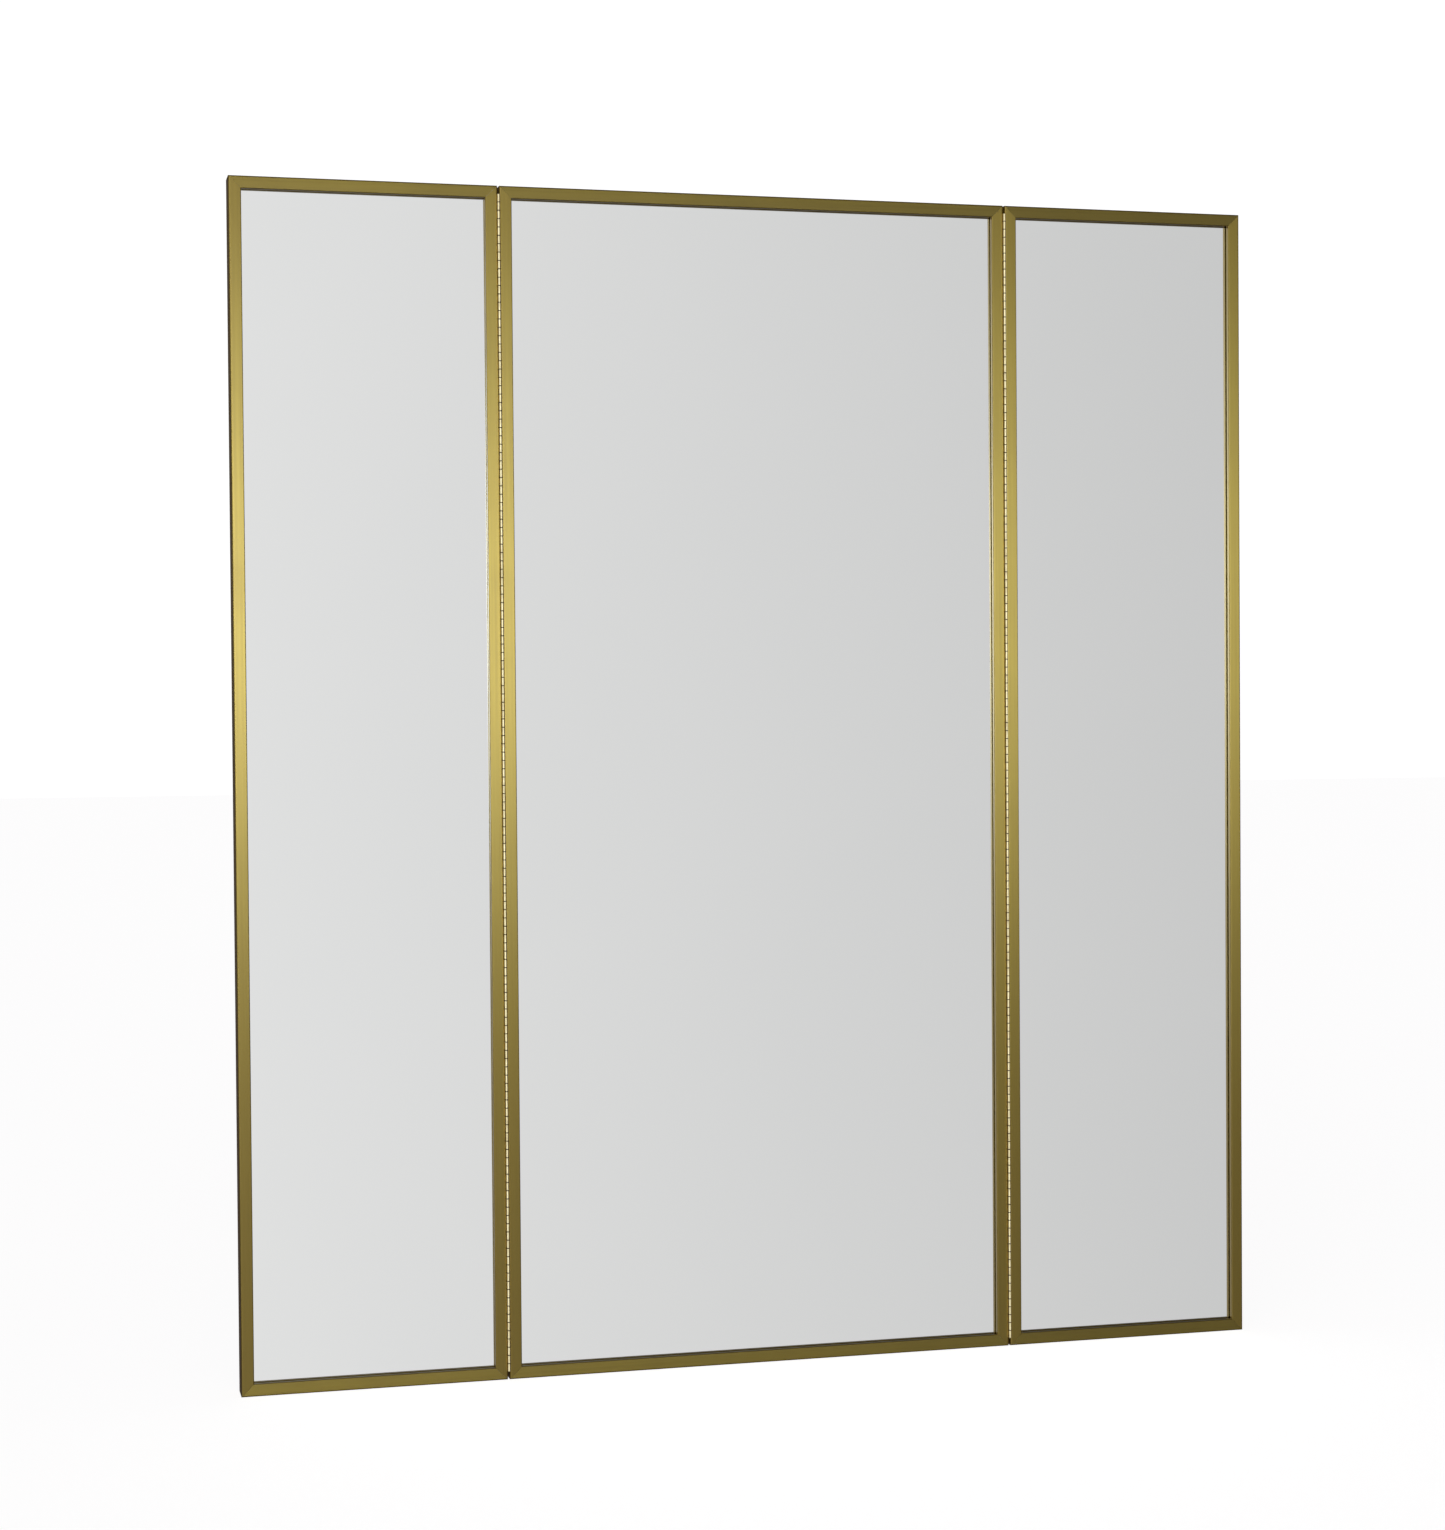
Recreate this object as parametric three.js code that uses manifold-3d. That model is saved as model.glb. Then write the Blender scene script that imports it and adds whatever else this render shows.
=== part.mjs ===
/**
 * A folding mirror screen: one wide centre panel with a half-width wing on each side.
 * Each panel is a mitred frame of aluminium extrusion round a sheet of mirror glass,
 * and each wing hangs on a continuous hinge that stands in the gap beside the centre panel.
 *
 * Millimetres. X runs along the screen, -Y is the front that shows the mirrors, +Z is up.
 * The origin is on the floor, at the middle of the whole screen's footprint.
 */
import * as THREE from "three";
import { mergeVertices } from "three/addons/utils/BufferGeometryUtils.js";
import Module from "manifold-3d";

const wasm = await Module();
wasm.setup();

// ---------------------------------------------------------------- driving sizes

// Panels
const PANEL_HEIGHT = 1829;
const CENTRE_WIDTH = 813;
const WINGS_APART_CLOSED = 3; // space left between the wings' outer stiles when both are closed

// Frame extrusion, measured from its outer edge inwards and from its front face back
const FACE_WIDTH = 19;
const FRAME_DEPTH = 44;
const REVEAL_DEPTH = 8; // front face to the mirror glass
const WALL = 1.8;
const OUTER_EDGE_RADIUS = 2.5;
const INNER_EDGE_RADIUS = 1.5;
const REAR_EDGE_RADIUS = 1.2;
const ARC_STEPS = 3;
const MITRE_GAP = 0.2;

// What the frame holds
const GLASS_THICKNESS = 4;
const BACK_THICKNESS = 6;
const BACK_INSET = 1.2; // from the frame's rear edge to the back panel
const BATTEN_WIDTH = 14;
const KEY_LEG = 70;
const KEY_TIP_CHAMFER = 2;

// Continuous hinges
const KNUCKLE_PITCH = 12.7;
const HINGE_END_SPACE = 10; // least distance from a hinge's end to the frame's end
const LEAF_THICKNESS = 1;
const LEAF_WIDTH = 24; // from the pin's axis back into the gap
const PIN_DIAMETER = 2.2;
const PIN_FORWARD = 1.5; // pin axis ahead of the frames' front faces
const PIN_SIDES = 12;
const CURL_STEPS = 6; // straight facets that a knuckle is rolled in
const CURL_MOUTH = 0.7; // between a knuckle's rolled end and the leaf it comes from

// Clearances
const SHEET_CLEARANCE = 0.3; // glass, battens and back panel, each way
const GLASS_EDGE_SPACE = 1; // between the glass's edge and the frame's side wall
const KEY_CLEARANCE = 0.2;
const LEAF_CLEARANCE = 0.05; // between a leaf and the stile it is screwed to
const LEAVES_APART = 0.8; // between a hinge's two leaves when the screen is open flat
const PIN_CLEARANCE = 0.1; // radial, between the pin and the knuckles
const KNUCKLE_CLEARANCE = 0.3; // end to end between knuckles
const NOTCH_CLEARANCE = 0.5; // between a barrel and the other leaf's edge

// ---------------------------------------------------------------- sizes that follow

const WING_WIDTH = (CENTRE_WIDTH - WINGS_APART_CLOSED) / 2;
const HINGE_GAP = LEAVES_APART + 2 * (LEAF_THICKNESS + LEAF_CLEARANCE);
const PIN_X = (CENTRE_WIDTH + HINGE_GAP) / 2;
const GLASS_REAR = REVEAL_DEPTH + GLASS_THICKNESS + SHEET_CLEARANCE;
const BACK_FRONT = FRAME_DEPTH - BACK_INSET - BACK_THICKNESS;
const BARREL_RADIUS = PIN_DIAMETER / 2 + PIN_CLEARANCE + LEAF_THICKNESS;
const KNUCKLES = Math.floor((PANEL_HEIGHT - 2 * HINGE_END_SPACE) / KNUCKLE_PITCH);
const HINGE_LENGTH = KNUCKLES * KNUCKLE_PITCH;
const HINGE_BOTTOM = (PANEL_HEIGHT - HINGE_LENGTH) / 2;
const FRONT_REACH = PIN_FORWARD + BARREL_RADIUS; // how far the barrels stand ahead of the faces

// ---------------------------------------------------------------- finishes

const SATIN_BRASS = { color: 0xb4954a, metalness: 1, roughness: 0.38 };
const HINGE_BRASS = { color: 0xd8c68a, metalness: 1, roughness: 0.25 };
const MIRROR = { color: 0xd4d4d4, metalness: 1, roughness: 0.03 };
const MILL_ALUMINIUM = { color: 0xb9bbbd, metalness: 1, roughness: 0.45 };
const PINE = { color: 0xcaa672, metalness: 0, roughness: 0.75 };
const BLACK_BOARD = { color: 0x2b2a29, metalness: 0, roughness: 0.85 };

const screen = new THREE.Group();
screen.name = "folding_mirror_screen";
screen.position.y = -(FRAME_DEPTH - FRONT_REACH) / 2;

/** Adds a named mesh to a group and returns it. */
function addPiece(group, name, geometry, finish) {
  const mesh = new THREE.Mesh(geometry, new THREE.MeshStandardMaterial(finish));
  mesh.name = name;
  group.add(mesh);
  return mesh;
}

// ---------------------------------------------------------------- solids

/** A three.js geometry as a manifold-3d solid. */
function solidFrom(geometry) {
  const bare = geometry.clone();
  bare.deleteAttribute("normal");
  bare.deleteAttribute("uv");
  const merged = mergeVertices(bare, 1e-4);
  return new wasm.Manifold(
    new wasm.Mesh({
      numProp: 3,
      vertProperties: merged.attributes.position.array,
      triVerts: new Uint32Array(merged.index.array),
    }),
  );
}

/** A manifold-3d solid as a three.js geometry. */
function geometryFrom(solid) {
  const { vertProperties, triVerts } = solid.getMesh();
  const geometry = new THREE.BufferGeometry();
  geometry.setAttribute("position", new THREE.BufferAttribute(vertProperties, 3));
  geometry.setIndex(new THREE.BufferAttribute(triVerts, 1));
  return geometry;
}

/** A closed box between two corners. */
function boxBetween(low, high) {
  const size = high.map((value, i) => value - low[i]);
  const middle = high.map((value, i) => (value + low[i]) / 2);
  return new THREE.BoxGeometry(...size).translate(...middle);
}

// ---------------------------------------------------------------- frame extrusion

/**
 * The extrusion's section: x runs from the panel's outer edge inwards, y from the front back.
 * A hollow front chamber makes the visible face and the seat for the glass, and one side wall
 * runs back from it to the rear edge.
 */
function frameSection() {
  const quarter = Math.PI / 2;
  const section = new THREE.Shape();
  section.moveTo(WALL, REVEAL_DEPTH);
  section.lineTo(WALL, FRAME_DEPTH);
  section.absarc(
    REAR_EDGE_RADIUS, FRAME_DEPTH - REAR_EDGE_RADIUS, REAR_EDGE_RADIUS, quarter, 2 * quarter,
  );
  section.absarc(OUTER_EDGE_RADIUS, OUTER_EDGE_RADIUS, OUTER_EDGE_RADIUS, 2 * quarter, 3 * quarter);
  section.absarc(
    FACE_WIDTH - INNER_EDGE_RADIUS, INNER_EDGE_RADIUS, INNER_EDGE_RADIUS, 3 * quarter, 4 * quarter,
  );
  section.lineTo(FACE_WIDTH, REVEAL_DEPTH);
  section.closePath();

  const chamber = new THREE.Path();
  chamber.moveTo(WALL, WALL);
  chamber.lineTo(WALL, REVEAL_DEPTH - WALL);
  chamber.lineTo(FACE_WIDTH - WALL, REVEAL_DEPTH - WALL);
  chamber.lineTo(FACE_WIDTH - WALL, WALL);
  chamber.closePath();
  section.holes.push(chamber);
  return section;
}

/** One frame member: the section extruded along +Z, with both ends cut at 45 degrees. */
function frameMember(length) {
  const geometry = new THREE.ExtrudeGeometry(frameSection(), {
    depth: length,
    bevelEnabled: false,
    curveSegments: ARC_STEPS,
  });
  const position = geometry.attributes.position;
  const cutBack = MITRE_GAP / Math.SQRT2;
  for (let i = 0; i < position.count; i += 1) {
    const inwards = position.getX(i) + cutBack;
    const end = position.getZ(i) > length / 2 ? length - inwards : inwards;
    position.setZ(i, end);
  }
  geometry.deleteAttribute("normal");
  return geometry;
}

/** The four members of a frame, each turned so that its section's x points into the panel. */
function addFrame(panel, name, width) {
  const members = [
    { side: "stile_left", turn: 0, corner: [0, 0], length: PANEL_HEIGHT },
    { side: "rail_top", turn: 1, corner: [0, PANEL_HEIGHT], length: width },
    { side: "stile_right", turn: 2, corner: [width, PANEL_HEIGHT], length: PANEL_HEIGHT },
    { side: "rail_bottom", turn: 3, corner: [width, 0], length: width },
  ];
  for (const { side, turn, corner, length } of members) {
    const member = addPiece(panel, `${name}_${side}`, frameMember(length), SATIN_BRASS);
    member.rotation.y = (turn * Math.PI) / 2;
    member.position.set(corner[0], 0, corner[1]);
  }
}

/** An L-shaped flat key that fills the front chamber round one corner of the frame. */
function cornerKey() {
  const outer = WALL + KEY_CLEARANCE;
  const inner = FACE_WIDTH - WALL - KEY_CLEARANCE;
  const tip = outer + KEY_LEG;
  const outline = new THREE.Shape();
  outline.moveTo(outer, outer);
  outline.lineTo(tip - KEY_TIP_CHAMFER, outer);
  outline.lineTo(tip, outer + KEY_TIP_CHAMFER);
  outline.lineTo(tip, inner - KEY_TIP_CHAMFER);
  outline.lineTo(tip - KEY_TIP_CHAMFER, inner);
  outline.lineTo(inner, inner);
  outline.lineTo(inner, tip - KEY_TIP_CHAMFER);
  outline.lineTo(inner - KEY_TIP_CHAMFER, tip);
  outline.lineTo(outer + KEY_TIP_CHAMFER, tip);
  outline.lineTo(outer, tip - KEY_TIP_CHAMFER);
  outline.closePath();
  const thickness = REVEAL_DEPTH - 2 * (WALL + KEY_CLEARANCE);
  return new THREE.ExtrudeGeometry(outline, { depth: thickness, bevelEnabled: false })
    .translate(0, 0, -(REVEAL_DEPTH - WALL - KEY_CLEARANCE))
    .rotateX(Math.PI / 2);
}

/** The four corner keys of a frame. */
function addCornerKeys(panel, name, width) {
  const corners = [
    { at: "bottom_left", turn: 0, corner: [0, 0] },
    { at: "top_left", turn: 1, corner: [0, PANEL_HEIGHT] },
    { at: "top_right", turn: 2, corner: [width, PANEL_HEIGHT] },
    { at: "bottom_right", turn: 3, corner: [width, 0] },
  ];
  for (const { at, turn, corner } of corners) {
    const key = addPiece(panel, `${name}_key_${at}`, cornerKey(), MILL_ALUMINIUM);
    key.rotation.y = (turn * Math.PI) / 2;
    key.position.set(corner[0], 0, corner[1]);
  }
}

// ---------------------------------------------------------------- mirror, battens and back

/** The mirror glass, which rests against the back of the frame's front chamber. */
function addMirror(panel, name, width) {
  const edge = WALL + GLASS_EDGE_SPACE;
  const front = REVEAL_DEPTH + SHEET_CLEARANCE / 2;
  const sheet = boxBetween(
    [edge, front, edge],
    [width - edge, front + GLASS_THICKNESS, PANEL_HEIGHT - edge],
  );
  addPiece(panel, `${name}_mirror`, sheet, MIRROR);
}

/** Wooden battens that press the glass forwards and take the back panel's screws. */
function addBattens(panel, name, width) {
  const outer = WALL + SHEET_CLEARANCE;
  const inner = outer + BATTEN_WIDTH;
  const front = GLASS_REAR + SHEET_CLEARANCE;
  const rear = BACK_FRONT - SHEET_CLEARANCE;
  const top = PANEL_HEIGHT - outer;
  const across = inner + SHEET_CLEARANCE;
  const pieces = {
    left: [[outer, front, outer], [inner, rear, top]],
    right: [[width - inner, front, outer], [width - outer, rear, top]],
    bottom: [[across, front, outer], [width - across, rear, inner]],
    top: [[across, front, PANEL_HEIGHT - inner], [width - across, rear, top]],
  };
  for (const [side, [low, high]] of Object.entries(pieces)) {
    addPiece(panel, `${name}_batten_${side}`, boxBetween(low, high), PINE);
  }
}

/** The board that closes the back, set inside the frame's side walls. */
function addBackPanel(panel, name, width) {
  const edge = WALL + SHEET_CLEARANCE;
  const board = boxBetween(
    [edge, BACK_FRONT, edge],
    [width - edge, BACK_FRONT + BACK_THICKNESS, PANEL_HEIGHT - edge],
  );
  addPiece(panel, `${name}_back_panel`, board, BLACK_BOARD);
}

/** One whole panel, with its left edge at x = left. */
function addPanel(name, left, width) {
  const panel = new THREE.Group();
  panel.name = `${name}_panel`;
  panel.position.x = left;
  screen.add(panel);
  addFrame(panel, name, width);
  addCornerKeys(panel, name, width);
  addMirror(panel, name, width);
  addBattens(panel, name, width);
  addBackPanel(panel, name, width);
}

// ---------------------------------------------------------------- continuous hinges

/** Points on a circle about the pin, from behind it at x = startX, round its front to `finish`. */
function curl(radius, startX, finish) {
  const start = Math.acos(startX / radius);
  return Array.from({ length: CURL_STEPS + 1 }, (_, i) => {
    const angle = start + ((finish - start) * i) / CURL_STEPS;
    return new THREE.Vector2(radius * Math.cos(angle), radius * Math.sin(angle));
  });
}

/**
 * A leaf's section, drawn from its rear edge forward between x = gapSide and x = stileSide, and
 * rolled round the pin at the origin to the open mouth.
 */
function rolledSection(gapSide, stileSide) {
  const boreRadius = (PIN_DIAMETER / 2 + PIN_CLEARANCE) / Math.cos(Math.PI / CURL_STEPS);
  const mouth = Math.acos((gapSide - CURL_MOUTH) / BARREL_RADIUS) - 2 * Math.PI;
  return new THREE.Shape([
    new THREE.Vector2(gapSide, LEAF_WIDTH),
    new THREE.Vector2(stileSide, LEAF_WIDTH),
    ...curl(BARREL_RADIUS, stileSide, mouth),
    ...curl(boreRadius, gapSide, mouth).reverse(),
  ]);
}

/**
 * A leaf that lies against the stile on its +X side. It is rolled along its whole length and
 * then notched at every second knuckle, so that those from `first` on are left.
 * The pin's axis is the local Z axis and the leaf runs back from it.
 */
function hingeLeaf(first) {
  const gapSide = LEAVES_APART / 2;
  const end = KNUCKLE_CLEARANCE / 2;
  const notchReach = 2 * BARREL_RADIUS;
  const rolled = new THREE.ExtrudeGeometry(rolledSection(gapSide, gapSide + LEAF_THICKNESS), {
    depth: HINGE_LENGTH - 2 * end,
    bevelEnabled: false,
  }).translate(0, 0, end);
  const notches = [];
  for (let k = 1 - first; k < KNUCKLES; k += 2) {
    const notch = boxBetween(
      [-notchReach, -notchReach, k * KNUCKLE_PITCH - end],
      [notchReach, BARREL_RADIUS + NOTCH_CLEARANCE, (k + 1) * KNUCKLE_PITCH + end],
    );
    notches.push(solidFrom(notch));
  }
  return geometryFrom(solidFrom(rolled).subtract(wasm.Manifold.union(notches)));
}

/** A leaf geometry turned over about the YZ plane, with its faces still pointing out. */
function mirroredAcross(geometry) {
  const flipped = geometry.clone().scale(-1, 1, 1);
  const index = flipped.index.array;
  for (let i = 0; i < index.length; i += 3) {
    [index[i + 1], index[i + 2]] = [index[i + 2], index[i + 1]];
  }
  return flipped;
}

/** One hinge: the pin, the centre panel's leaf and the wing's leaf. */
function addHinge(name, side) {
  const hinge = new THREE.Group();
  hinge.name = `${name}_hinge`;
  hinge.position.set(side * PIN_X, -PIN_FORWARD, HINGE_BOTTOM);
  screen.add(hinge);
  const evenLeaf = hingeLeaf(0);
  const oddLeaf = hingeLeaf(1);
  const centreLeaf = side < 0 ? evenLeaf : mirroredAcross(evenLeaf);
  const wingLeaf = side < 0 ? mirroredAcross(oddLeaf) : oddLeaf;
  addPiece(hinge, `${name}_hinge_centre_leaf`, centreLeaf, HINGE_BRASS);
  addPiece(hinge, `${name}_hinge_wing_leaf`, wingLeaf, HINGE_BRASS);
  const pin = new THREE.CylinderGeometry(
    PIN_DIAMETER / 2, PIN_DIAMETER / 2, HINGE_LENGTH, PIN_SIDES,
  );
  pin.rotateX(Math.PI / 2).translate(0, 0, HINGE_LENGTH / 2);
  addPiece(hinge, `${name}_hinge_pin`, pin, HINGE_BRASS);
}

addPanel("centre", -CENTRE_WIDTH / 2, CENTRE_WIDTH);
addPanel("left_wing", -CENTRE_WIDTH / 2 - HINGE_GAP - WING_WIDTH, WING_WIDTH);
addPanel("right_wing", CENTRE_WIDTH / 2 + HINGE_GAP, WING_WIDTH);
addHinge("left", -1);
addHinge("right", 1);

export default screen;
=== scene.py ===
"""A three-panel folding mirror screen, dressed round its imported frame.

Every piece is built in metres in the frame's own axes: X along the open screen, -Y out of the
mirrors, +Z up, with the origin on the floor under the middle of the screen.
"""

import logging
import math
from collections.abc import Iterable
from dataclasses import dataclass, field
from enum import Enum

import bmesh
import bpy
from mathutils import Matrix, Vector


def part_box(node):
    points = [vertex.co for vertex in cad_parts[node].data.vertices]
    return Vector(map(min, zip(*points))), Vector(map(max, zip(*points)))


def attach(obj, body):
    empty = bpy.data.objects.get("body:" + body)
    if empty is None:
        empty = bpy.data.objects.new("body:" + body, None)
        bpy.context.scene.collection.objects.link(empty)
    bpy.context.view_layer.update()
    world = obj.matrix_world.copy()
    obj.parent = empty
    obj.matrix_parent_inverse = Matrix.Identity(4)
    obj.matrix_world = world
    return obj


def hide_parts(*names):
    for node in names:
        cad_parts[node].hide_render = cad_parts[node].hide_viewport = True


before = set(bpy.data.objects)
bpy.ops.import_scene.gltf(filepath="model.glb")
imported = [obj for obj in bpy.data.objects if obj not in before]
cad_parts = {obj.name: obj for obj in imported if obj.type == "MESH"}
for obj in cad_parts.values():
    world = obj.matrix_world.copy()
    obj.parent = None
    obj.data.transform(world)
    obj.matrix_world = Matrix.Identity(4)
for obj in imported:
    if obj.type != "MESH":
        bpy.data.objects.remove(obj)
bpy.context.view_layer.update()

log = logging.getLogger("mirror_screen")

MM = 0.001
WHOLE_TURN = 2 * math.pi
QUARTER_TURN = math.pi / 2
ACROSS_ALONG = "across_along"  # the frame stock's UV map
GRAIN_DEPTH = 0.02 * MM  # of the brushed and rolled grain's bump
GRAIN_STRENGTH = 0.10
NOISE_LIMITS = (0.3, 0.7)  # noise at these becomes 0 and 1
SMUDGE_LIMITS = (0.42, 0.68)
DUST_LIMITS = (0.62, 0.75)
LINES_PER_BAND = 9.0
BEHIND_KNUCKLES = 2.3 * MM  # from a pin's middle back to just behind its knuckles

Colour = tuple[float, float, float]
Value = float | bpy.types.NodeSocket
Tone = tuple[float, float, float, float] | bpy.types.NodeSocket
GroupParts = tuple[bpy.types.NodeTree, "Graph", bpy.types.Node, bpy.types.Node]


class Side(Enum):
    """The two hinges and wings, by which side of the centre panel they are on."""

    LEFT = -1
    RIGHT = 1

    @property
    def word(self) -> str:
        """The side's name as node names spell it."""
        return self.name.lower()


# ------------------------------------------------------------------ node helpers


class Graph:
    """A node tree with short calls for adding nodes and wiring them."""

    def __init__(self, tree: bpy.types.NodeTree) -> None:
        """Wraps a tree.

        Args:
            tree: the node tree to add to.
        """
        self.tree = tree

    def add(self, kind: str, inputs: dict[str | int, object] | None = None,
            **settings: object) -> bpy.types.Node:
        """Adds one node.

        Args:
            kind: the node's type name.
            inputs: a value, or a socket to link from, for each input by name or number.
            settings: attributes to set on the node.

        Returns:
            The new node.
        """
        node = self.tree.nodes.new(kind)
        for name, value in settings.items():
            setattr(node, name, value)
        for key, value in (inputs or {}).items():
            if isinstance(value, bpy.types.NodeSocket):
                self.tree.links.new(value, node.inputs[key])
            else:
                node.inputs[key].default_value = value
        return node

    def math(self, operation: str, first: Value, second: Value = 0.0) -> bpy.types.NodeSocket:
        """Adds a Math node.

        Args:
            operation: the Math node's operation.
            first: the first value or socket.
            second: the second value or socket.

        Returns:
            The node's output socket.
        """
        return self.add("ShaderNodeMath", {0: first, 1: second}, operation=operation).outputs[0]

    def remap(self, value: Value, low: float, high: float, to_low: float,
              to_high: float) -> bpy.types.NodeSocket:
        """Adds a clamped Map Range node.

        Args:
            value: the value or socket to map.
            low: the value that gives `to_low`.
            high: the value that gives `to_high`.
            to_low: the result at and beyond `low`.
            to_high: the result at and beyond `high`.

        Returns:
            The result's socket.
        """
        inputs = {"Value": value, "From Min": low, "From Max": high,
                  "To Min": to_low, "To Max": to_high}
        return self.add("ShaderNodeMapRange", inputs).outputs["Result"]

    def blend(self, amount: Value, first: Tone, second: Tone,
              mode: str = "MIX") -> bpy.types.NodeSocket:
        """Adds a colour Mix node.

        Args:
            amount: the mixing factor, a value or a socket.
            first: the colour or socket at 0.
            second: the colour or socket at 1.
            mode: how the second colour is laid over the first.

        Returns:
            The mixed colour's socket.
        """
        node = self.add("ShaderNodeMix", {0: amount, 6: first, 7: second},
                        data_type="RGBA", blend_type=mode)
        return node.outputs[2]


def new_group(name: str, inputs: dict[str, float], outputs: Iterable[str]) -> GroupParts:
    """Makes an empty shader node group.

    Args:
        name: the group's name.
        inputs: each input's name and default; "Coordinates" is made a vector.
        outputs: the names of the value outputs.

    Returns:
        The group, its Graph, its input node and its output node.
    """
    group = bpy.data.node_groups.new(name, "ShaderNodeTree")
    for label, default in inputs.items():
        kind = "NodeSocketVector" if label == "Coordinates" else "NodeSocketFloat"
        socket = group.interface.new_socket(label, in_out="INPUT", socket_type=kind)
        if kind == "NodeSocketFloat":
            socket.default_value = default
    for label in outputs:
        group.interface.new_socket(label, in_out="OUTPUT", socket_type="NodeSocketFloat")
    graph = Graph(group)
    return group, graph, graph.add("NodeGroupInput"), graph.add("NodeGroupOutput")


def brush_grain_group() -> bpy.types.NodeTree:
    """Fine parallel lines: coordinates run across the lines in x and along them in y.

    Returns:
        The group, with a 0 to 1 mask of the lines and one of broader bands.
    """
    group, g, taken, given = new_group(
        "brush grain", {"Coordinates": 0.0, "Lines per metre": 4000.0, "Stretch": 60.0},
        ("Lines", "Bands"),
    )
    parts = g.add("ShaderNodeSeparateXYZ", {0: taken.outputs["Coordinates"]})
    along = g.math("DIVIDE", parts.outputs["Y"], taken.outputs["Stretch"])
    flat = g.add("ShaderNodeCombineXYZ", {"X": parts.outputs["X"], "Y": along,
                                          "Z": parts.outputs["Z"]})
    lines = g.add("ShaderNodeTexNoise", {"Vector": flat.outputs[0],
                                         "Scale": taken.outputs["Lines per metre"],
                                         "Detail": 3.0, "Roughness": 0.65})
    coarse = g.math("DIVIDE", taken.outputs["Lines per metre"], LINES_PER_BAND)
    bands = g.add("ShaderNodeTexNoise", {"Vector": flat.outputs[0], "Scale": coarse,
                                         "Detail": 2.0})
    for noise, mask in ((lines, "Lines"), (bands, "Bands")):
        spread = g.remap(noise.outputs["Fac"], *NOISE_LIMITS, 0.0, 1.0)
        g.tree.links.new(spread, given.inputs[mask])
    return group


def handling_group() -> bpy.types.NodeTree:
    """Soft smudges and fine dust, from object coordinates.

    Returns:
        The group, with 0 to 1 masks for smudges and for dust.
    """
    group, g, taken, given = new_group(
        "handling marks", {"Coordinates": 0.0, "Smudge scale": 6.0, "Dust scale": 700.0},
        ("Smudges", "Dust"),
    )
    cloud = g.add("ShaderNodeTexNoise", {"Vector": taken.outputs["Coordinates"],
                                         "Scale": taken.outputs["Smudge scale"],
                                         "Detail": 4.0, "Distortion": 0.6})
    specks = g.add("ShaderNodeTexNoise", {"Vector": taken.outputs["Coordinates"],
                                          "Scale": taken.outputs["Dust scale"],
                                          "Detail": 1.0})
    for noise, limits, mask in ((cloud, SMUDGE_LIMITS, "Smudges"), (specks, DUST_LIMITS, "Dust")):
        g.tree.links.new(g.remap(noise.outputs["Fac"], *limits, 0.0, 1.0), given.inputs[mask])
    return group


GRAIN = brush_grain_group()
HANDLING = handling_group()


# ------------------------------------------------------------------ finishes


@dataclass(frozen=True)
class Finish:
    """A named material; each kind of finish wires its own nodes in `dress`."""

    name: str

    def material(self) -> bpy.types.Material:
        """Gives the finished material, built the first time it is asked for.

        Returns:
            The material.
        """
        made = bpy.data.materials.get(self.name)
        if made is None:
            made = bpy.data.materials.new(self.name)
            made.use_nodes = True
            made.node_tree.nodes.clear()
            graph = Graph(made.node_tree)
            shader = graph.add("ShaderNodeBsdfPrincipled")
            output = graph.add("ShaderNodeOutputMaterial")
            made.node_tree.links.new(shader.outputs[0], output.inputs["Surface"])
            self.dress(graph, shader)
        return made

    def dress(self, g: Graph, shader: bpy.types.Node) -> None:
        """Wires the finish.

        Args:
            g: the material's graph.
            shader: its Principled shader.
        """
        raise NotImplementedError


def object_coordinates(g: Graph) -> bpy.types.NodeSocket:
    """The piece's own place in the frame, in metres."""
    return g.add("ShaderNodeTexCoord").outputs["Object"]


def feed(g: Graph, source: bpy.types.NodeSocket, shader: bpy.types.Node, name: str) -> None:
    """Links a socket to one of the shader's inputs.

    Args:
        g: the material's graph.
        source: the socket to link from.
        shader: the material's Principled shader.
        name: the input's name.
    """
    g.tree.links.new(source, shader.inputs[name])


def tint(g: Graph, mask: bpy.types.NodeSocket, share: float, under: Tone,
         over: Colour) -> bpy.types.NodeSocket:
    """Lays a colour over another where a mask is bright.

    Args:
        g: the material's graph.
        mask: where the colour goes.
        share: how much of it shows where the mask is 1.
        under: the colour or socket below.
        over: the colour laid on it.

    Returns:
        The mixed colour's socket.
    """
    return g.blend(g.math("MULTIPLY", mask, share), under, (*over, 1))


def roughen(g: Graph, shader: bpy.types.Node, height: bpy.types.NodeSocket,
            strength: float = GRAIN_STRENGTH, depth: float = GRAIN_DEPTH) -> None:
    """Gives a finish its bump.

    Args:
        g: the material's graph.
        shader: its Principled shader.
        height: the pattern that stands up.
        strength: how strongly it shows.
        depth: how far it stands up.
    """
    bump = g.add("ShaderNodeBump", {"Strength": strength, "Distance": depth, "Height": height})
    feed(g, bump.outputs[0], shader, "Normal")


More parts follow.
